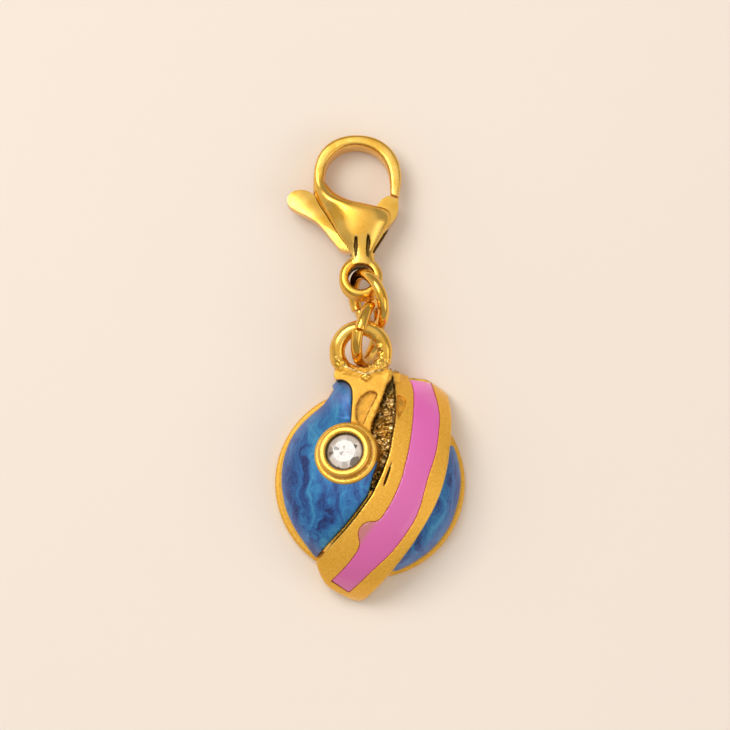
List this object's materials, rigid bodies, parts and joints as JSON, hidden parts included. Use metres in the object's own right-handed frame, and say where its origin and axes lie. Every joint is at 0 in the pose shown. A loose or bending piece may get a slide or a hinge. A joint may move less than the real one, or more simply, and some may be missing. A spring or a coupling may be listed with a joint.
{
  "type": "enamelled clip-on charm",
  "caption": "Round domed charm with a diagonal enamel belt and a bezel-set stone, hung on wire rings from a lobster clasp.",
  "frame": {"origin": "middle of the pendant's flat back", "axes": "+Z out of the front, +Y from the pendant to the clasp"},
  "size_m": [0.0138, 0.0341, 0.0059],
  "materials": {
    "pendant_gold": "gold-coloured casting, satin strips and polished bezel",
    "enamel_blue_left": "pearl blue enamel, glossy",
    "enamel_blue_right": "pearl blue enamel, glossy",
    "enamel_pink": "plain pink enamel, glossy",
    "stone_clear": "clear faceted stone",
    "ring_gold_lower": "gold-coloured wire, polished",
    "ring_gold_upper": "gold-coloured wire, polished",
    "clasp_gold": "gold-coloured casting, polished",
    "lever_gold": "gold-coloured lever, polished",
    "pin_steel": "plain pin"
  },
  "bodies": {
    "charm": {"pendant_body": "pendant_gold", "enamel_blue_left": "enamel_blue_left", "enamel_blue_right": "enamel_blue_right", "enamel_pink": "enamel_pink", "stone": "stone_clear", "jump_ring_lower": "ring_gold_lower", "jump_ring_upper": "ring_gold_upper", "clasp_body": "clasp_gold", "clasp_pivot_pin": "pin_steel"},
    "lever": {"clasp_lever": "lever_gold"}
  },
  "joints": [
    {"name": "lever_hinge", "type": "hinge", "parent": "charm", "child": "lever", "pos_m": [-0.00025, 0.0172, 0.00221], "axis": [0, 0.1392, 0.9903], "range_deg": [0, 22], "stiffness_Nm_per_rad": 0.0001, "springref_deg": -11.46}
  ]
}
